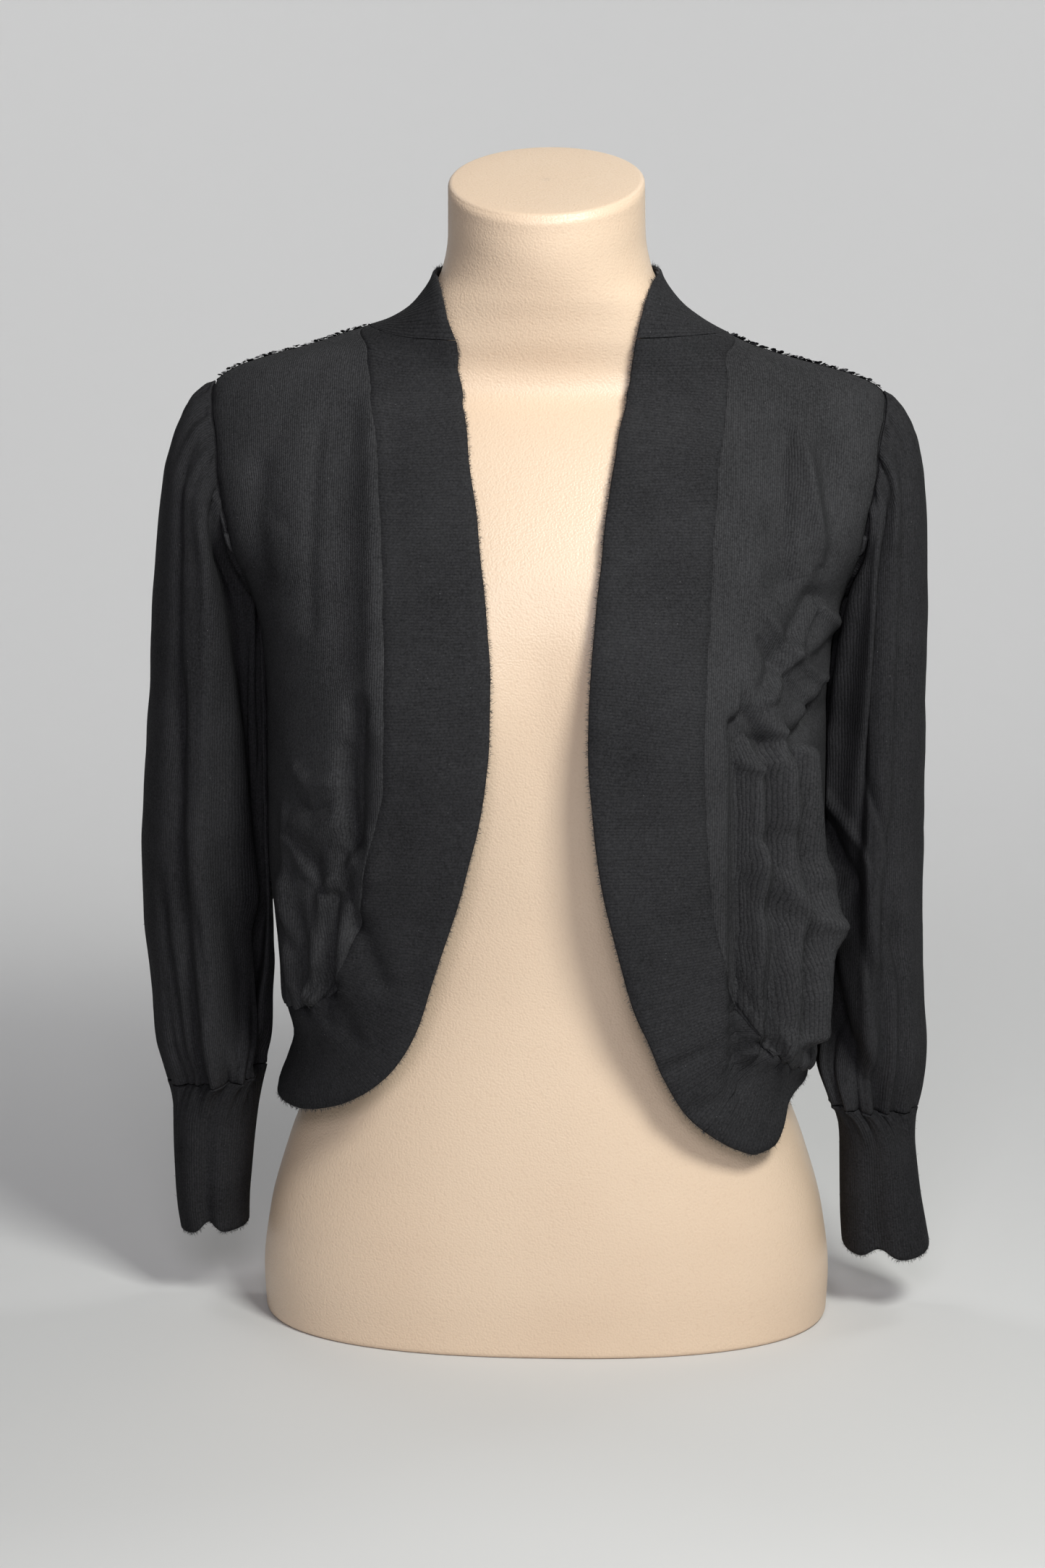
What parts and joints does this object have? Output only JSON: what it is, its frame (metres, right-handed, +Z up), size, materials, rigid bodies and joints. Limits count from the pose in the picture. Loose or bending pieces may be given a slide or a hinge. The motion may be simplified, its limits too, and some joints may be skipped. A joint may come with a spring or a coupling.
{
  "type": "knitted shrug on a dress form",
  "caption": "Open long-sleeved knitted shrug with rib bands round the opening, gathered sleeves and fitted cuffs, on a limbless dress form with a flat base.",
  "frame": {"origin": "centre of the form's flat base, at floor level", "axes": "+Z up along the body, -Y towards the front opening, +X towards the wearer's left"},
  "size_m": [0.4641, 0.2339, 0.676],
  "materials": {
    "fine_knit": "matte black fine-gauge knit",
    "rib_knit": "matte black rib knit",
    "sequin_back": "black knit covered with small flat sequins",
    "form_plastic": "finely pebbled beige plastic skin"
  },
  "bodies": {
    "root": {"form": "form_plastic", "front_right": "fine_knit", "front_left": "fine_knit", "back_panel": "sequin_back", "band_front_right": "rib_knit", "band_front_left": "rib_knit", "band_neck": "rib_knit", "band_hem_back": "rib_knit", "sleeve_right": "fine_knit", "sleeve_left": "fine_knit", "cuff_right": "rib_knit", "cuff_left": "rib_knit"}
  },
  "joints": []
}
